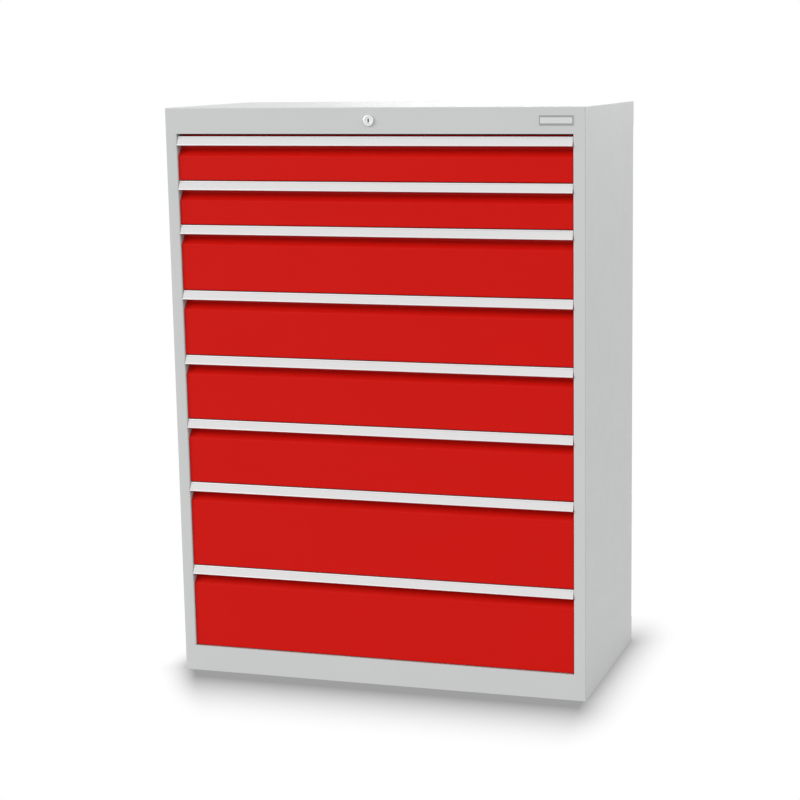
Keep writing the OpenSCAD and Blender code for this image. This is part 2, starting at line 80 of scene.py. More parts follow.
# Sizes of the lock, the badge and the rivets
LOCK_BODY_RADIUS = 0.0095
LOCK_HOLE_REACH = 0.02
BARREL_RADIUS = 0.007
BARREL_PLAY = 0.00005
ROSETTE_HEIGHT = 0.004
ROSETTE_ROUND = 0.0016
ROSETTE_ROUND_STEPS = 6
ROSETTE_DISH = 0.0005
KEYWAY_WIDTH = 0.003
KEYWAY_HEIGHT = 0.008
KEYWAY_DEPTH = 0.006
LOCK_EDGE = CUT_EDGE / 2
BADGE_ROUND = 0.0008
BADGE_END = 0.002
BADGE_BAR = 0.004
BADGE_STEP = 0.0004
BADGE_EDGE = CUT_EDGE / 2
RIVET_HEAD_RADIUS = 0.004
RIVET_HEAD_HEIGHT = 0.001
RIVET_MANDREL_RADIUS = 0.0011
RIVET_RIM_SHARE = 0.3
RIVET_DOME_POINTS = 6
RIVET_DOME_STEP = 14
RIVETS_A_SIDE = 8

# How the pieces are worked: distances within which points are one, and angles in degrees
NEAR = 1e-5
MERGE = 1e-6
SEED_SIZE = 0.001
SHARP_ANGLE = 50
SMOOTH_ANGLE = 40
LATHE_STEPS = 64
DRAWERS = range(1, 9)


# Working by hand in edit mode

def put_down():
    if bpy.context.mode != "OBJECT":
        bpy.ops.object.mode_set(mode="OBJECT")


def select_only(piece):
    put_down()
    bpy.ops.object.select_all(action="DESELECT")
    piece.select_set(True)
    bpy.context.view_layer.objects.active = piece


def work_on(piece):
    select_only(piece)
    bpy.ops.object.mode_set(mode="EDIT")


def pick_faces(piece, test):
    """Selects the faces whose middle and normal pass the test, and stays in edit mode."""
    work_on(piece)
    bpy.ops.mesh.select_mode(type="FACE")
    bpy.ops.mesh.select_all(action="DESELECT")
    put_down()
    for face in piece.data.polygons:
        face.select = test(face.center, face.normal)
    bpy.ops.object.mode_set(mode="EDIT")


def pick_edges(piece, test):
    """Selects the edges whose two ends pass the test, and stays in edit mode."""
    work_on(piece)
    bpy.ops.mesh.select_mode(type="EDGE")
    bpy.ops.mesh.select_all(action="DESELECT")
    put_down()
    points = piece.data.vertices
    for edge in piece.data.edges:
        first, second = (points[k].co for k in edge.vertices)
        edge.select = test(first, second)
    bpy.ops.object.mode_set(mode="EDIT")


def near(a, b):
    return abs(a - b) < NEAR


def finish_modifier(piece, kind, **settings):
    """Adds a modifier with its settings and applies it at once."""
    modifier = piece.modifiers.new(kind.lower(), kind)
    for key, value in settings.items():
        setattr(modifier, key, value)
    select_only(piece)
    bpy.ops.object.modifier_apply(modifier=modifier.name)


def name_piece(name):
    piece = bpy.context.object
    piece.name = name
    piece.data.name = name
    return piece


def new_block(name, low, high):
    """A block between two corners, with its place in its mesh."""
    bpy.ops.object.select_all(action="DESELECT")
    bpy.ops.mesh.primitive_cube_add(size=1, location=(low + high) / 2)
    bpy.context.object.scale = high - low
    bpy.ops.object.transform_apply(location=True, rotation=True, scale=True)
    return name_piece(name)


def new_rod(name, place, direction, radius, length):
    """A round bar centred on its place, along a direction."""
    bpy.ops.object.select_all(action="DESELECT")
    turn = direction.to_track_quat("Z", "Y").to_euler()
    bpy.ops.mesh.primitive_cylinder_add(
        vertices=LATHE_STEPS, radius=radius, depth=length, location=place, rotation=turn
    )
    bpy.ops.object.transform_apply(location=True, rotation=True, scale=True)
    return name_piece(name)


def draw_line(name, points):
    """A line drawn point by point from a single vertex, left selected in edit mode."""
    bpy.ops.object.select_all(action="DESELECT")
    bpy.ops.mesh.primitive_plane_add(size=SEED_SIZE, location=points[0])
    bpy.ops.object.transform_apply(location=True, rotation=True, scale=True)
    line = name_piece(name)
    work_on(line)
    bpy.ops.mesh.select_mode(type="VERT")
    bpy.ops.mesh.select_all(action="SELECT")
    bpy.ops.mesh.merge(type="CENTER")
    for here, there in zip(points, points[1:]):
        bpy.ops.mesh.extrude_vertices_move(TRANSFORM_OT_translate={"value": there - here})
    return line


def close_up(piece):
    """Merges doubled points and turns every face outwards."""
    work_on(piece)
    bpy.ops.mesh.select_mode(type="VERT")
    bpy.ops.mesh.select_all(action="SELECT")
    bpy.ops.mesh.remove_doubles(threshold=MERGE)
    bpy.ops.mesh.normals_make_consistent(inside=False)
    put_down()


def soften(piece, width):
    """Breaks the sharp edges and shades the folds round and the flats flat."""
    finish_modifier(
        piece, "BEVEL", width=width, segments=2, limit_method="ANGLE",
        angle_limit=math.radians(SHARP_ANGLE),
    )
    select_only(piece)
    bpy.ops.object.shade_smooth_by_angle(angle=math.radians(SMOOTH_ANGLE))
    finish_modifier(piece, "WEIGHTED_NORMAL", mode="FACE_AREA", weight=50, keep_sharp=True)


def thicken(piece, thickness, inwards):
    """Gives a folded surface its sheet thickness, on the side that a face's normal says."""
    finish_modifier(
        piece, "SOLIDIFY", thickness=thickness, offset=-1 if inwards else 1, use_even_offset=True
    )


def fold_sheet(name, path, pull, thickness, inside, edge):
    """A sheet folded along a path and pulled out along its width.

    The path runs along one face. The sheet lies on the side that inside points to at the first stretch.
    """
    sheet = draw_line(name, path)
    bpy.ops.mesh.select_all(action="SELECT")
    bpy.ops.mesh.extrude_edges_move(TRANSFORM_OT_translate={"value": pull})
    runs = [(there - here).normalized() for here, there in zip(path, path[1:])]
    side = 1 if pull.cross(runs[0]).dot(inside) > 0 else -1
    for corner, before, after in zip(path[1:], runs, runs[1:]):
        sheet_side = pull.cross(before) * side
        outside = sheet_side.dot(after - before) > 0
        radius = FOLD_RADIUS + (thickness if outside else 0)
        setback = radius * math.tan(before.angle(after) / 2)
        ends = (corner, corner + pull)
        pick_edges(sheet, lambda a, b: all(min((p - e).length for e in ends) < NEAR for p in (a, b)))
        bpy.ops.mesh.bevel(offset=setback, offset_type="OFFSET", segments=FOLD_SEGMENTS, affect="EDGES")
    put_down()
    middle = (path[0] + path[1] + pull) / 2
    first = min(sheet.data.polygons, key=lambda face: (face.center - middle).length)
    thicken(sheet, thickness, first.normal.dot(inside) < 0)
    close_up(sheet)
    soften(sheet, edge)
    return sheet


def extrude_outline(name, outline, pull, edge):
    """A bar pulled out from a closed outline, as an extrusion comes out of its die."""
    bar = draw_line(name, outline + outline[:1])
    bpy.ops.mesh.select_all(action="SELECT")
    bpy.ops.mesh.remove_doubles(threshold=MERGE)
    bpy.ops.mesh.edge_face_add()
    bpy.ops.mesh.extrude_region_move(TRANSFORM_OT_translate={"value": pull})
    put_down()
    close_up(bar)
    soften(bar, edge)
    return bar


def turn_on_lathe(name, profile, centre, axis):
    """A round piece spun from its profile."""
    turned = draw_line(name, profile)
    bpy.ops.mesh.select_all(action="SELECT")
    bpy.ops.mesh.spin(steps=LATHE_STEPS, angle=math.tau, center=centre, axis=axis, use_auto_merge=True)
    put_down()
    close_up(turned)
    return turned


def round_from(x, z):
    """Places at a distance from an axis that runs from front to back."""
    return lambda away, y: Vector((x + away, y, z))


def cut_out(piece, tool):
    """Cuts the tool's shape out of the piece and throws the tool away."""
    finish_modifier(piece, "BOOLEAN", operation="DIFFERENCE", object=tool, solver="EXACT")
    bpy.data.objects.remove(tool, do_unlink=True)


# Shared effects of the finishes

# Sockets of a colour mix, by number because its names repeat for each kind of data
MIX_SHARE = 0
MIX_FIRST = 6
MIX_SECOND = 7
MIX_RESULT = 2
# Noises: the middle of their range, their roughness, and their scales in repeats for each metre
NOISE_MIDDLE = (0.3, 0.7)
NOISE_ROUGHNESS = 0.55
CLOUD_SCALE = 5
GRAIN_SCALE = 1400
PEEL_SCALE = 520
GLOSS_SCALE = 28
LINE_STRETCH = (6, 1500, 1500)
BLOOM_SCALE = 40


def new_group(name, inputs, outputs):
    group = bpy.data.node_groups.new(name, "ShaderNodeTree")
    for label, kind, start in inputs:
        socket = group.interface.new_socket(label, in_out="INPUT", socket_type=kind)
        socket.default_value = start
    for label, kind in outputs:
        group.interface.new_socket(label, in_out="OUTPUT", socket_type=kind)
    return group, group.nodes.new("NodeGroupInput"), group.nodes.new("NodeGroupOutput")


def add_node(tree, kind, **inputs):
    """A node with its input values set: underscores in a name stand for spaces."""
    made = tree.nodes.new(kind)
    for key, value in inputs.items():
        made.inputs[key.replace("_", " ")].default_value = value
    return made


def feed(tree, socket, value):
    """Links a socket to an input, or sets a number there."""
    if isinstance(value, bpy.types.NodeSocket):
        tree.links.new(value, socket)
    else:
        socket.default_value = value


def ramp(tree, value, start, end, first, last):
    """Goes from first to last as a value goes from start to end."""
    made = tree.nodes.new("ShaderNodeMapRange")
    bounds = (("From Min", start), ("From Max", end), ("To Min", first), ("To Max", last))
    for key, bound in (("Value", value), *bounds):
        feed(tree, made.inputs[key], bound)
    return made


def calculate(tree, operation, *values):
    """A sum, product or the like of sockets and numbers."""
    made = tree.nodes.new("ShaderNodeMath")
    made.operation = operation
    for k, value in enumerate(values):
        feed(tree, made.inputs[k], value)
    return made.outputs[0]


def mix_colours(tree, share, first, second):
    """Goes from the first colour to the second as the share goes from nought to one."""
    made = tree.nodes.new("ShaderNodeMix")
    made.data_type = "RGBA"
    for k, value in ((MIX_SHARE, share), (MIX_FIRST, first), (MIX_SECOND, second)):
        feed(tree, made.inputs[k], value)
    return made.outputs[MIX_RESULT]


def noise_on_piece(tree, scale, detail, stretch=None):
    """Noise in the piece's own coordinates, drawn out along an axis where stretch says so."""
    place = tree.nodes.new("ShaderNodeTexCoord")
    noise = add_node(tree, "ShaderNodeTexNoise", Scale=scale, Detail=detail, Roughness=NOISE_ROUGHNESS)
    if stretch is None:
        tree.links.new(place.outputs["Object"], noise.inputs["Vector"])
        return noise
    mapping = add_node(tree, "ShaderNodeMapping", Scale=stretch)
    tree.links.new(place.outputs["Object"], mapping.inputs["Vector"])
    tree.links.new(mapping.outputs["Vector"], noise.inputs["Vector"])
    return noise


def spread(tree, noise, low, high):
    """Maps the middle of a noise's range onto low and high."""
    return ramp(tree, noise.outputs["Fac"], *NOISE_MIDDLE, low, high).outputs["Result"]


def powder_coat_group():
    """Baked powder paint: orange peel, pigment grain and a faint unevenness of gloss."""
    group, given, result = new_group(
        "powder_coat_skin",
        [
            ("Paint", "NodeSocketColor", (0.5, 0.5, 0.5, 1)),
            ("Shade", "NodeSocketColor", (0.45, 0.45, 0.45, 1)),
            ("Matt", "NodeSocketFloat", 0.46),
            ("Satin", "NodeSocketFloat", 0.38),
        ],
        [("Colour", "NodeSocketColor"), ("Roughness", "NodeSocketFloat"), ("Peel", "NodeSocketFloat")],
    )
    cloud = noise_on_piece(group, CLOUD_SCALE, 3)
    grain = noise_on_piece(group, GRAIN_SCALE, 1)
    peel = noise_on_piece(group, PEEL_SCALE, 2)
    gloss = noise_on_piece(group, GLOSS_SCALE, 2)
    paint, shade = given.outputs["Paint"], given.outputs["Shade"]
    tone = mix_colours(group, spread(group, cloud, 0.0, 0.5), paint, shade)
    specked = mix_colours(group, spread(group, grain, 0.0, 0.5), tone, shade)
    group.links.new(specked, result.inputs["Colour"])
    rough = spread(group, gloss, given.outputs["Satin"], given.outputs["Matt"])
    group.links.new(rough, result.inputs["Roughness"])
    group.links.new(peel.outputs["Fac"], result.inputs["Peel"])
    return group


def drawn_metal_group():
    """Fine lines left along a piece of metal by its die or its rolls."""
    group, given, result = new_group(
        "drawn_metal_lines",
        [
            ("Metal", "NodeSocketColor", (0.7, 0.7, 0.7, 1)),
            ("Line", "NodeSocketColor", (0.6, 0.6, 0.6, 1)),
            ("Dull", "NodeSocketFloat", 0.5),
            ("Bright", "NodeSocketFloat", 0.35),
        ],
        [("Colour", "NodeSocketColor"), ("Roughness", "NodeSocketFloat"), ("Lines", "NodeSocketFloat")],
    )
    lines = noise_on_piece(group, 1, 3, stretch=LINE_STRETCH)
    bloom = noise_on_piece(group, BLOOM_SCALE, 3)
    tone = mix_colours(group, spread(group, lines, 0.0, 1.0), given.outputs["Metal"], given.outputs["Line"])
    group.links.new(tone, result.inputs["Colour"])
    rough = spread(group, bloom, given.outputs["Bright"], given.outputs["Dull"])
    group.links.new(rough, result.inputs["Roughness"])
    group.links.new(lines.outputs["Fac"], result.inputs["Lines"])
    return group


def new_finish(name, metallic, specular, group, relief, relief_depth, **values):
    """A material whose colour, roughness and relief come from a shared effect."""
    finish = bpy.data.materials.new(name)
    finish.use_nodes = True
    tree = finish.node_tree
    shader = tree.nodes["Principled BSDF"]
    shader.inputs["Metallic"].default_value = metallic
    shader.inputs["Specular IOR Level"].default_value = specular
    effect = tree.nodes.new("ShaderNodeGroup")
    effect.node_tree = group
    for key, value in values.items():
        effect.inputs[key].default_value = value
    bump = add_node(tree, "ShaderNodeBump", Strength=relief, Distance=relief_depth)
    tree.links.new(effect.outputs[0], shader.inputs["Base Color"])
    tree.links.new(effect.outputs[1], shader.inputs["Roughness"])
    tree.links.new(effect.outputs[2], bump.inputs["Height"])
    tree.links.new(bump.outputs["Normal"], shader.inputs["Normal"])
    return finish


powder_coat = powder_coat_group()
drawn_metal = drawn_metal_group()

grey_paint = new_finish(
    "grey_powder_coat", 0, 0.20, powder_coat, 0.10, 0.0004,
    Paint=(0.575, 0.587, 0.580, 1), Shade=(0.545, 0.558, 0.552, 1), Matt=0.47, Satin=0.40,
)
red_paint = new_finish(
    "red_powder_coat", 0, 0.12, powder_coat, 0.10, 0.0004,
    Paint=(0.590, 0.0044, 0.0014, 1), Shade=(0.555, 0.0036, 0.0010, 1), Matt=0.46, Satin=0.38,
)
grip_metal = new_finish(
    "anodised_grip", 1, 0.5, drawn_metal, 0.05, 0.0002,
    Metal=(0.62, 0.62, 0.625, 1), Line=(0.58, 0.58, 0.585, 1), Dull=0.62, Bright=0.54,
)
label_film = new_finish(
    "label_film", 0, 0.3, powder_coat, 0.03, 0.0002,
    Paint=(0.661, 0.661, 0.661, 1), Shade=(0.630, 0.630, 0.630, 1), Matt=0.36, Satin=0.28,
)
zinc_plate = new_finish(
    "zinc_plated_steel", 1, 0.5, drawn_metal, 0.05, 0.0002,
    Metal=(0.62, 0.64, 0.66, 1), Line=(0.52, 0.54, 0.57, 1), Dull=0.42, Bright=0.28,
)
lock_chrome = new_finish(
    "lock_chrome", 1, 0.5, drawn_metal, 0.02, 0.0001,
    Metal=(0.74, 0.74, 0.75, 1), Line=(0.68, 0.68, 0.70, 1), Dull=0.40, Bright=0.30,
)
badge_metal = new_finish(
    "badge_aluminium", 1, 0.5, drawn_metal, 0.05, 0.0002,
    Metal=(0.60, 0.60, 0.605, 1), Line=(0.55, 0.55, 0.555, 1), Dull=0.48, Bright=0.38,
)
badge_edge = new_finish(
    "badge_grey_bars", 0, 0.3, powder_coat, 0.04, 0.0002,
    Paint=(0.34, 0.34, 0.34, 1), Shade=(0.31, 0.31, 0.31, 1), Matt=0.50, Satin=0.42,
)
# Painted shade: the keyway's walls get a near-black colour that stands in for the dark inside the deep slot
keyway_shade = new_finish(
    "keyway_painted_shade", 1, 0.5, drawn_metal, 0.05, 0.0002,
    Metal=(0.030, 0.029, 0.028, 1), Line=(0.018, 0.018, 0.018, 1), Dull=0.60, Bright=0.45,
)


def dress(piece, finish, body, slot, *nodes):
    """Gives a modelled piece its finish and body, and lets it stand for its nodes."""
    if not piece.data.materials:
        piece.data.materials.append(finish)
    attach(piece, body)
    if nodes:
        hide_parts(*nodes)


def paint_two(piece, plain, other, test):
    """Gives the faces whose middle passes the test the other finish, and the rest the plain one."""
    piece.data.materials.append(plain)
    piece.data.materials.append(other)
    for face in piece.data.polygons:
        face.material_index = 1 if test(face.center) else 0


# Sheets of the housing

post_inner = -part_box("left_side_panel")[1].x
return_half = post_inner - RETURN_GAP


def add_rail_return(shell, front_y, edge_z):
    """Folds a flange back from the front rail's free edge, between the posts."""
    work_on(shell)
    for x in (-return_half, return_half):
        bpy.ops.mesh.select_all(action="SELECT")
        bpy.ops.mesh.bisect(plane_co=(x, 0, 0), plane_no=(1, 0, 0))

    def on_free_edge(point):
        return near(point.y, front_y) and near(point.z, edge_z) and abs(point.x) < return_half + NEAR

    pick_edges(shell, lambda a, b: on_free_edge(a) and on_free_edge(b))
    bpy.ops.mesh.extrude_edges_move(TRANSFORM_OT_translate={"value": (0, POST_RETURN, 0)})
    put_down()


def round_housing_folds(shell, low, high, flat_z=None):
    """Rounds the four upright corners of a shell, and the folds around its flat side if it has one."""
    def outer(point, k):
        return near(point[k], low[k]) or near(point[k], high[k])

    def at_corner(point):
        return outer(point, 0) and outer(point, 1)

    def around_flat(point):
        return flat_z is not None and near(point.z, flat_z) and (outer(point, 0) or outer(point, 1))

    def on_one_side(a, b):
        return any(near(a[k], b[k]) and outer(a, k) for k in (0, 1))

    def is_fold(a, b):
        upright = at_corner(a) and at_corner(b) and not near(a.z, b.z)
        return upright or (around_flat(a) and around_flat(b) and on_one_side(a, b))

    pick_edges(shell, is_fold)
    bpy.ops.mesh.bevel(
        offset=FOLD_RADIUS + HOUSING_SHEET, offset_type="OFFSET", segments=FOLD_SEGMENTS, affect="EDGES"
    )
    put_down()


def make_top_cover():
    low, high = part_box("top_cover")
    cover = new_block("top_cover_shell", low, high)
    pick_faces(cover, lambda middle, normal: normal.z < -0.5)
    bpy.ops.mesh.delete(type="FACE")
    put_down()
    round_housing_folds(cover, low, high, high.z)
    add_rail_return(cover, low.y, low.z)
    thicken(cover, HOUSING_SHEET, True)
    lock_low, lock_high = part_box("lock_housing")
    mouth = Vector((0, low.y, (lock_low.z + lock_high.z) / 2))
    cut_out(cover, new_rod("lock_hole", mouth, Vector((0, 1, 0)), LOCK_BODY_RADIUS, LOCK_HOLE_REACH))
    soften(cover, SEAM_EDGE)
    dress(cover, grey_paint, "housing", "housing_grey", "top_cover")


def make_plinth():
    low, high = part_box("plinth")
    plinth = new_block("plinth_ring", low, high)
    pick_faces(plinth, lambda middle, normal: normal.z > 0.5)
    bpy.ops.mesh.delete(type="FACE")
    pick_faces(plinth, lambda middle, normal: normal.z < -0.5)
    bpy.ops.mesh.inset(thickness=FLOOR_FLANGE, depth=0)
    bpy.ops.mesh.delete(type="FACE")
    put_down()
    round_housing_folds(plinth, low, high)
    add_rail_return(plinth, low.y, high.z)
    thicken(plinth, HOUSING_SHEET, True)
    soften(plinth, SEAM_EDGE)
    dress(plinth, grey_paint, "housing", "housing_grey", "plinth")


def make_side_panel(node, side):
    low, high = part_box("left_side_panel")
    outer, inner = low.x * -side, high.x * -side
    post_back = low.y + POST_RETURN
    corners = [
        (outer - side * REAR_FLANGE, high.y), (outer, high.y), (outer, low.y),
        (inner, low.y), (inner, post_back), (inner + side * POST_LIP, post_back),
    ]
    path = [Vector((x, y, low.z)) for x, y in corners]
    pull = Vector((0, 0, high.z - low.z))
    panel = fold_sheet(f"{node}_sheet", path, pull, HOUSING_SHEET, Vector((0, -1, 0)), SEAM_EDGE)
    dress(panel, grey_paint, "housing", "housing_grey", node)


# Drawer fronts, grips and labels

def make_front(number):
    node = f"drawer_{number}_front"
    low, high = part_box(node)
    recess = high.y - HEAD_FLANGE
    grip_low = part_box(f"drawer_{number}_grip")[1].z - GRIP_HEIGHT
    corners = [
        (high.y, high.z), (recess, high.z), (recess, grip_low - RECESS_WALL),
        (low.y, grip_low - RECESS_WALL - RECESS_SLOPE), (low.y, low.z), (low.y + FRONT_FLANGE, low.z),
    ]
    path = [Vector((low.x, y, z)) for y, z in corners]
    pull = Vector((high.x - low.x, 0, 0))
    front = fold_sheet(f"{node}_sheet", path, pull, FRONT_SHEET, Vector((0, 0, -1)), CUT_EDGE)
    dress(front, red_paint, f"drawer_{number}", "drawer_red", node)


class GripFace:
    """Places on a grip's leaning face: down along it, and inwards from it."""

    def __init__(self, number):
        front_low, front_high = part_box(f"drawer_{number}_front")
        self.left = front_low.x
        self.width = front_high.x - front_low.x
        self.back = front_high.y - HEAD_FLANGE
        self.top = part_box(f"drawer_{number}_grip")[1].z
        self.edge = Vector((self.left, front_low.y, self.top))
        self.length = math.hypot(GRIP_LEAN, GRIP_HEIGHT)
        self.down = Vector((0, -GRIP_LEAN, -GRIP_HEIGHT)) / self.length
        self.inwards = Vector((0, GRIP_HEIGHT, -GRIP_LEAN)) / self.length

    def at(self, down, inwards):
        return self.edge + self.down * down + self.inwards * inwards


def make_grip(number):
    node = f"drawer_{number}_grip"
    face = GripFace(number)
    depth = CHANNEL_DEPTH + GRIP_WALL
    lower = face.length - LIP_HEIGHT
    web_start = (GRIP_WEB + face.inwards.z * depth) / -face.down.z
    leg_front = face.back - GRIP_WEB
    outline = [
        face.at(0, 0), face.at(LIP_HEIGHT, 0), face.at(LIP_HEIGHT, LIP_SHEET),
        face.at(LIP_HEIGHT - LIP_UNDERCUT, LIP_SHEET), face.at(LIP_HEIGHT - LIP_UNDERCUT, CHANNEL_DEPTH),
        face.at(lower + LIP_UNDERCUT, CHANNEL_DEPTH), face.at(lower + LIP_UNDERCUT, LIP_SHEET),
        face.at(lower, LIP_SHEET), face.at(lower, 0), face.at(face.length, 0),
        face.at(face.length, depth), face.at(web_start, depth),
        Vector((face.left, leg_front, face.top - GRIP_WEB)),
        Vector((face.left, leg_front, face.top - GRIP_LEG)),
        Vector((face.left, face.back, face.top - GRIP_LEG)),
        Vector((face.left, face.back, face.top)),
    ]
    pull = Vector((face.width, 0, 0))
    grip = extrude_outline(f"{node}_profile", outline, pull, GRIP_EDGE)
    dress(grip, grip_metal, f"drawer_{number}", "bare_aluminium", node)


def make_label(number):
    """A thin label strip, slightly crowned, in the channel between the grip's lips."""
    face = GripFace(number)
    start = LIP_HEIGHT - LIP_UNDERCUT + LABEL_PLAY
    end = face.length - start
    front = LIP_SHEET + LABEL_PLAY
    path = []
    for k in range(LABEL_BENDS + 1):
        share = k / LABEL_BENDS
        crown = LABEL_CROWN * math.sin(math.pi * share)
        path.append(face.at(start + (end - start) * share, front - crown))
    inset = Vector((LABEL_PLAY, 0, 0))
    strip = draw_line(f"drawer_{number}_label", [point + inset for point in path])
    bpy.ops.mesh.select_all(action="SELECT")
    bpy.ops.mesh.extrude_edges_move(TRANSFORM_OT_translate={"value": (face.width - 2 * LABEL_PLAY, 0, 0)})
    put_down()
    outward = strip.data.polygons[0].normal.dot(face.inwards) < 0
    thicken(strip, LABEL_SHEET, outward)
    close_up(strip)
    soften(strip, LABEL_EDGE)
    dress(strip, label_film, f"drawer_{number}", "bare_aluminium")


# Lock, badge and rivets

def make_lock_rosette():
    low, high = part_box("lock_housing")
    centre = (low + high) / 2
    radius = (high.x - low.x) / 2
    rail = low.y + ROSETTE_HEIGHT
    bore = BARREL_RADIUS + BARREL_PLAY
    seat = bore + ROSETTE_DISH
    at = round_from(centre.x, centre.z)
    rounding = [
        at(radius - ROSETTE_ROUND * (1 - math.sin(turn)), low.y + ROSETTE_ROUND * (1 - math.cos(turn)))
        for turn in (math.tau / 4 * k / ROSETTE_ROUND_STEPS for k in range(ROSETTE_ROUND_STEPS + 1))
    ]
    profile = [
        at(bore, high.y), at(bore, low.y + ROSETTE_DISH), at(seat, low.y),
        *rounding, at(radius, rail), at(LOCK_BODY_RADIUS, rail), at(LOCK_BODY_RADIUS, high.y),
        at(bore, high.y),
    ]
    rosette = turn_on_lathe("lock_rosette", profile, centre, (0, 1, 0))
    soften(rosette, LOCK_EDGE)
    dress(rosette, lock_chrome, "housing", "lock_chrome", "lock_housing")


def make_lock_barrel():
    low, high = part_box("lock_barrel")
    centre = (low + high) / 2
    at = round_from(centre.x, centre.z)
    chamfer = ROSETTE_DISH
    profile = [
        at(0, low.y), at(BARREL_RADIUS - chamfer, low.y), at(BARREL_RADIUS, low.y + chamfer),
        at(BARREL_RADIUS, high.y), at(0, high.y),
    ]
    barrel = turn_on_lathe("lock_barrel_face", profile, centre, (0, 1, 0))
    reach = Vector((KEYWAY_WIDTH / 2, KEYWAY_DEPTH, KEYWAY_HEIGHT / 2))
    mouth = Vector((centre.x, low.y, centre.z))
    cut_out(barrel, new_block("keyway", mouth - reach, mouth + reach))
    soften(barrel, LOCK_EDGE)
    inner = reach + Vector((CUT_EDGE / 4, 0, CUT_EDGE / 4))

    def in_keyway(middle):
        off = middle - mouth
        return abs(off.x) < inner.x and abs(off.z) < inner.z and off.y > CUT_EDGE

    # The faces inside the keyway get the near-black painted shade, the rest of the barrel stays chrome
    paint_two(barrel, lock_chrome, keyway_shade, in_keyway)
    dress(barrel, lock_chrome, "lock_cylinder", "lock_chrome", "lock_barrel")


def make_badge():
    """A bare plate sunk between two raised grey bars and two raised ends."""
    low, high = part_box("badge_plate")
    badge = new_block("badge_bare_plate", low, high)
    pick_edges(badge, lambda a, b: not near(a.y, b.y))
    bpy.ops.mesh.bevel(offset=BADGE_ROUND, offset_type="OFFSET", segments=FOLD_SEGMENTS, affect="EDGES")
    inner_low = low + Vector((BADGE_END, 0, BADGE_BAR))
    inner_high = high - Vector((BADGE_END, 0, BADGE_BAR))
    for corner in (inner_low, inner_high):
        for across in (Vector((1, 0, 0)), Vector((0, 0, 1))):
            bpy.ops.mesh.select_all(action="SELECT")
            bpy.ops.mesh.bisect(plane_co=corner, plane_no=across)

    def on_plate(middle, normal):
        within = inner_low.x < middle.x < inner_high.x and inner_low.z < middle.z < inner_high.z
        return normal.y < -0.5 and within

    pick_faces(badge, on_plate)
    bpy.ops.mesh.extrude_region_move(TRANSFORM_OT_translate={"value": (0, BADGE_STEP, 0)})
    close_up(badge)
    soften(badge, BADGE_EDGE)
    raised = low.y + BADGE_STEP - CUT_EDGE / 4
    paint_two(badge, badge_metal, badge_edge, lambda middle: middle.y < raised)
    dress(badge, badge_metal, "housing", "bare_aluminium", "badge_plate")


def make_rivets():
    """Blind rivets, turned once and copied to each place on the back panel."""
    low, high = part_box("back_panel_rivets")
    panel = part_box("back_panel")[1].y
    left = low.x + RIVET_HEAD_RADIUS
    bottom = low.z + RIVET_HEAD_RADIUS
    step = (high.z - low.z - 2 * RIVET_HEAD_RADIUS) / (RIVETS_A_SIDE - 1)
    shank = RIVET_HEAD_RADIUS / 2
    at = round_from(left, bottom)

    def domed(turn):
        rise = RIVET_RIM_SHARE + (1 - RIVET_RIM_SHARE) * math.sin(turn)
        return at(RIVET_HEAD_RADIUS * math.cos(turn), panel + RIVET_HEAD_HEIGHT * rise)

    dome = [domed(math.radians(RIVET_DOME_STEP * k)) for k in range(RIVET_DOME_POINTS)]
    profile = [
        at(0, low.y), at(shank, low.y), at(shank, panel), at(RIVET_HEAD_RADIUS, panel), *dome,
        at(RIVET_MANDREL_RADIUS, high.y - CUT_EDGE), at(RIVET_MANDREL_RADIUS, panel), at(0, panel),
    ]
    rivet = turn_on_lathe("back_panel_rivet_heads", profile, at(0, panel), (0, 1, 0))
    bpy.ops.object.shade_smooth_by_angle(angle=math.radians(SMOOTH_ANGLE))
    copies = [rivet]
    for k in range(RIVETS_A_SIDE):
        for x in (left, -left):
            move = Vector((x - left, 0, step * k))
            if move.length < NEAR:
                continue
            select_only(rivet)
            bpy.ops.object.duplicate()
            copy = bpy.context.object
            copy.location = move
            bpy.ops.object.transform_apply(location=True, rotation=False, scale=False)
            copies.append(copy)
    bpy.ops.object.select_all(action="DESELECT")
    for copy in copies:
        copy.select_set(True)
    bpy.context.view_layer.objects.active = rivet
    bpy.ops.object.join()
    dress(rivet, zinc_plate, "housing", "zinc_steel", "back_panel_rivets")


def paint_node(node, finish):
    """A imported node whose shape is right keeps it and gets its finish."""
    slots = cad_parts[node].data.materials
    slots.clear()
    slots.append(finish)


make_top_cover()
make_plinth()
make_side_panel("left_side_panel", 1)
make_side_panel("right_side_panel", -1)
for number in DRAWERS:
    make_front(number)
    make_grip(number)
    make_label(number)
    paint_node(f"drawer_{number}_tray", grey_paint)
    paint_node(f"drawer_{number}_inner_rails", zinc_plate)
    paint_node(f"drawer_{number}_middle_rails", zinc_plate)
make_lock_rosette()
make_lock_barrel()
make_badge()
make_rivets()
for node in ("floor_pan", "back_panel"):
    paint_node(node, grey_paint)
for node in (
    "left_uprights", "right_uprights", "left_cabinet_rails", "right_cabinet_rails", "lock_nut",
    "shaft_bracket", "lock_bar_guides", "lock_shaft", "lock_crank", "lock_bar",
):
    paint_node(node, zinc_plate)


# Floor, light and camera

FLOOR_SIZE = 120
FLOOR_GLOW = 0.55
SKY_STRENGTH = 0.75
SHADOW_STRENGTH = 0.655
# Each side of the floor's shadow: how far from the plinth it starts to fade, and over what length
SHADOW_FRONT = (0.046, 0.305)
SHADOW_RIGHT = (-0.007, 0.124)
SHADOW_LEFT = (-0.02, 0.10)
SHADOW_REAR = (-0.05, 0.29)
# How far the shadow's left end draws in for each metre towards the front
SHADOW_LEFT_LEAN = 0.55
# The darker line along the plinth's foot, where a wall hides half of the sky
FOOT_LINE_SKY = 0.5
FOOT_LINE_REACH = 0.06
FOOT_LINE_TONE = 0.40
LAMP_PLACE = (0, 0, 4)
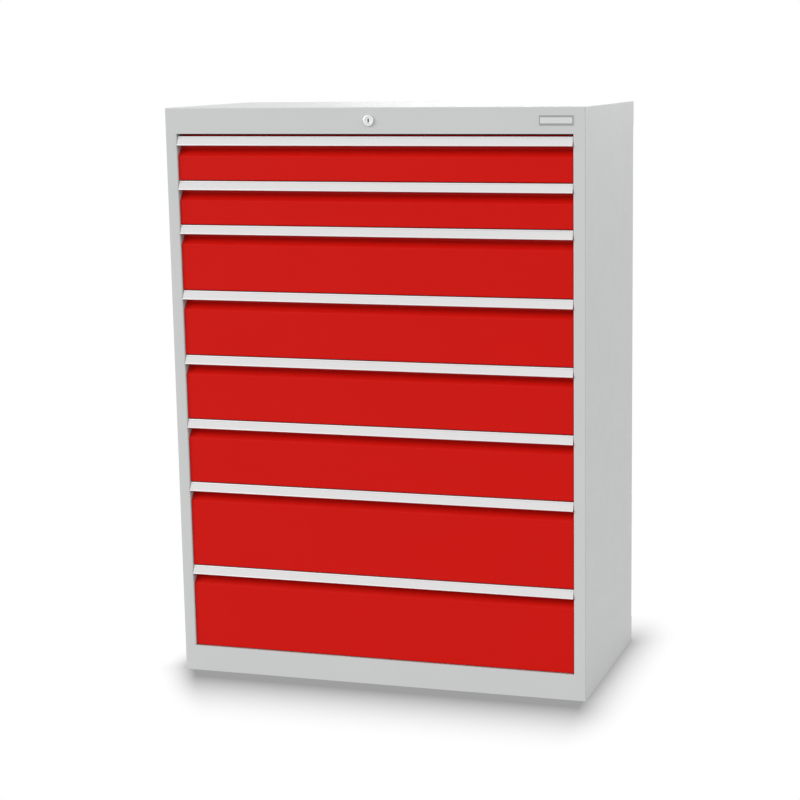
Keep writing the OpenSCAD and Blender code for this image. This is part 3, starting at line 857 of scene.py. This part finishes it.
# Each lamp: strength, softness, height above the horizon and direction from the front, in degrees,
# where the left counts as positive
LAMPS = {
    "key_light": (1.74, 36, 20, 60),
    "right_light": (0.606, 40, 30, -70),
    "back_light": (0.80, 40, 8, 180),
    "front_light": (0.174, 30, 40, 0),
}
CAMERA_PLACE = Vector((1.45401, -4.38232, 1.42875))
CAMERA_AZIMUTH = 16.48386
CAMERA_ELEVATION = 10.67646
CAMERA_ROLL = -0.63945
CAMERA_LENS = 88.73632
CAMERA_SENSOR = 36
CAMERA_FAR = 200
CAMERA_SHIFT = (-0.0911, 0.0341)


def seen_directly(tree):
    """A mask of what the eye, mirrors and clear glass see, apart from what only lights the cabinet."""
    path = tree.nodes.new("ShaderNodeLightPath")
    seen = path.outputs["Is Camera Ray"]
    for label in ("Is Glossy Ray", "Is Transmission Ray"):
        seen = calculate(tree, "MAXIMUM", seen, path.outputs[label])
    return seen


def join_by_mask(tree, mask, lights, seen, output):
    mix = tree.nodes.new("ShaderNodeMixShader")
    tree.links.new(mask, mix.inputs[0])
    tree.links.new(lights.outputs[0], mix.inputs[1])
    tree.links.new(seen.outputs[0], mix.inputs[2])
    tree.links.new(mix.outputs[0], output.inputs[0])


def soft_shadow(tree):
    """Tone of white paper under a shadow that fades with the distance from the plinth."""
    place = tree.nodes.new("ShaderNodeTexCoord")
    split = tree.nodes.new("ShaderNodeSeparateXYZ")
    tree.links.new(place.outputs["Object"], split.inputs[0])
    x, y, _ = split.outputs
    low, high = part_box("plinth")
    ahead = calculate(tree, "MAXIMUM", calculate(tree, "SUBTRACT", low.y, y), 0)
    drawn_in = calculate(tree, "SUBTRACT", x, calculate(tree, "MULTIPLY", ahead, SHADOW_LEFT_LEAN))
    sides = (
        (y, low.y, -1, SHADOW_FRONT), (x, high.x, 1, SHADOW_RIGHT),
        (drawn_in, low.x, -1, SHADOW_LEFT), (y, high.y, 1, SHADOW_REAR),
    )
    away = None
    for along, edge, outwards, (start, length) in sides:
        near_end = edge + outwards * start
        faded = ramp(tree, along, near_end, near_end + outwards * length, 0, 1).outputs["Result"]
        squared = calculate(tree, "MULTIPLY", faded, faded)
        away = squared if away is None else calculate(tree, "ADD", away, squared)
    left_over = ramp(tree, calculate(tree, "SQRT", away), 0, 1, 1, 0).outputs["Result"]
    shade = calculate(tree, "MULTIPLY", left_over, left_over)
    return ramp(tree, shade, 0, 1, 1, 1 - SHADOW_STRENGTH).outputs["Result"]


def foot_line(tree):
    """Tone of white paper that the plinth shelters close to its foot."""
    open_sky = add_node(tree, "ShaderNodeAmbientOcclusion", Distance=FOOT_LINE_REACH)
    tone = ramp(tree, open_sky.outputs["AO"], FOOT_LINE_SKY, 1, FOOT_LINE_TONE, 1)
    tone.clamp = False
    return tone.outputs["Result"]


def make_floor():
    """White paper that shows the soft shadow around the plinth."""
    bpy.ops.object.select_all(action="DESELECT")
    bpy.ops.mesh.primitive_plane_add(size=FLOOR_SIZE, location=(0, 0, 0))
    floor = name_piece("studio_floor")
    paper = bpy.data.materials.new("studio_paper")
    paper.use_nodes = True
    tree = paper.node_tree
    tree.nodes.clear()
    paper.cycles.emission_sampling = "NONE"
    glow = add_node(tree, "ShaderNodeEmission", Strength=FLOOR_GLOW)
    white = add_node(tree, "ShaderNodeEmission", Strength=1)
    tone = calculate(tree, "MINIMUM", soft_shadow(tree), foot_line(tree))
    tree.links.new(tone, white.inputs["Color"])
    join_by_mask(tree, seen_directly(tree), glow, white, tree.nodes.new("ShaderNodeOutputMaterial"))
    floor.data.materials.append(paper)


def make_sky():
    """Plain soft light all round, with white behind the cabinet."""
    world = bpy.data.worlds.new("studio_sky")
    world.use_nodes = True
    tree = world.node_tree
    tree.nodes.clear()
    soft = add_node(tree, "ShaderNodeBackground", Color=(1, 1, 1, 1), Strength=SKY_STRENGTH)
    white = add_node(tree, "ShaderNodeBackground", Color=(1, 1, 1, 1), Strength=1)
    join_by_mask(tree, seen_directly(tree), soft, white, tree.nodes.new("ShaderNodeOutputWorld"))
    bpy.context.scene.world = world


def make_lamps():
    for name, (strength, softness, height, around) in LAMPS.items():
        bpy.ops.object.select_all(action="DESELECT")
        bpy.ops.object.light_add(type="SUN", location=LAMP_PLACE)
        lamp = bpy.context.object
        lamp.name = name
        lamp.data.energy = strength
        lamp.data.angle = math.radians(softness)
        rise, turn = math.radians(height), math.radians(around)
        towards = Vector((
            -math.sin(turn) * math.cos(rise), -math.cos(turn) * math.cos(rise), math.sin(rise)
        ))
        lamp.rotation_euler = towards.to_track_quat("Z", "Y").to_euler()


def make_camera():
    azimuth, elevation, roll = (
        math.radians(angle) for angle in (CAMERA_AZIMUTH, CAMERA_ELEVATION, CAMERA_ROLL)
    )
    level = Vector((math.cos(azimuth), math.sin(azimuth), 0))
    back = Vector((
        math.sin(azimuth) * math.cos(elevation),
        -math.cos(azimuth) * math.cos(elevation),
        math.sin(elevation),
    ))
    upright = back.cross(level)
    right = level * math.cos(roll) + upright * math.sin(roll)
    bpy.ops.object.select_all(action="DESELECT")
    bpy.ops.object.camera_add()
    camera = bpy.context.object
    camera.name = "photo_camera"
    turn = Matrix((right, back.cross(right), back)).transposed()
    camera.matrix_world = Matrix.Translation(CAMERA_PLACE) @ turn.to_4x4()
    camera.data.sensor_width = CAMERA_SENSOR
    camera.data.lens = CAMERA_LENS
    camera.data.shift_x, camera.data.shift_y = CAMERA_SHIFT
    camera.data.clip_end = CAMERA_FAR
    bpy.context.scene.camera = camera


make_floor()
make_sky()
make_lamps()
make_camera()
bpy.context.scene.view_settings.view_transform = "Standard"
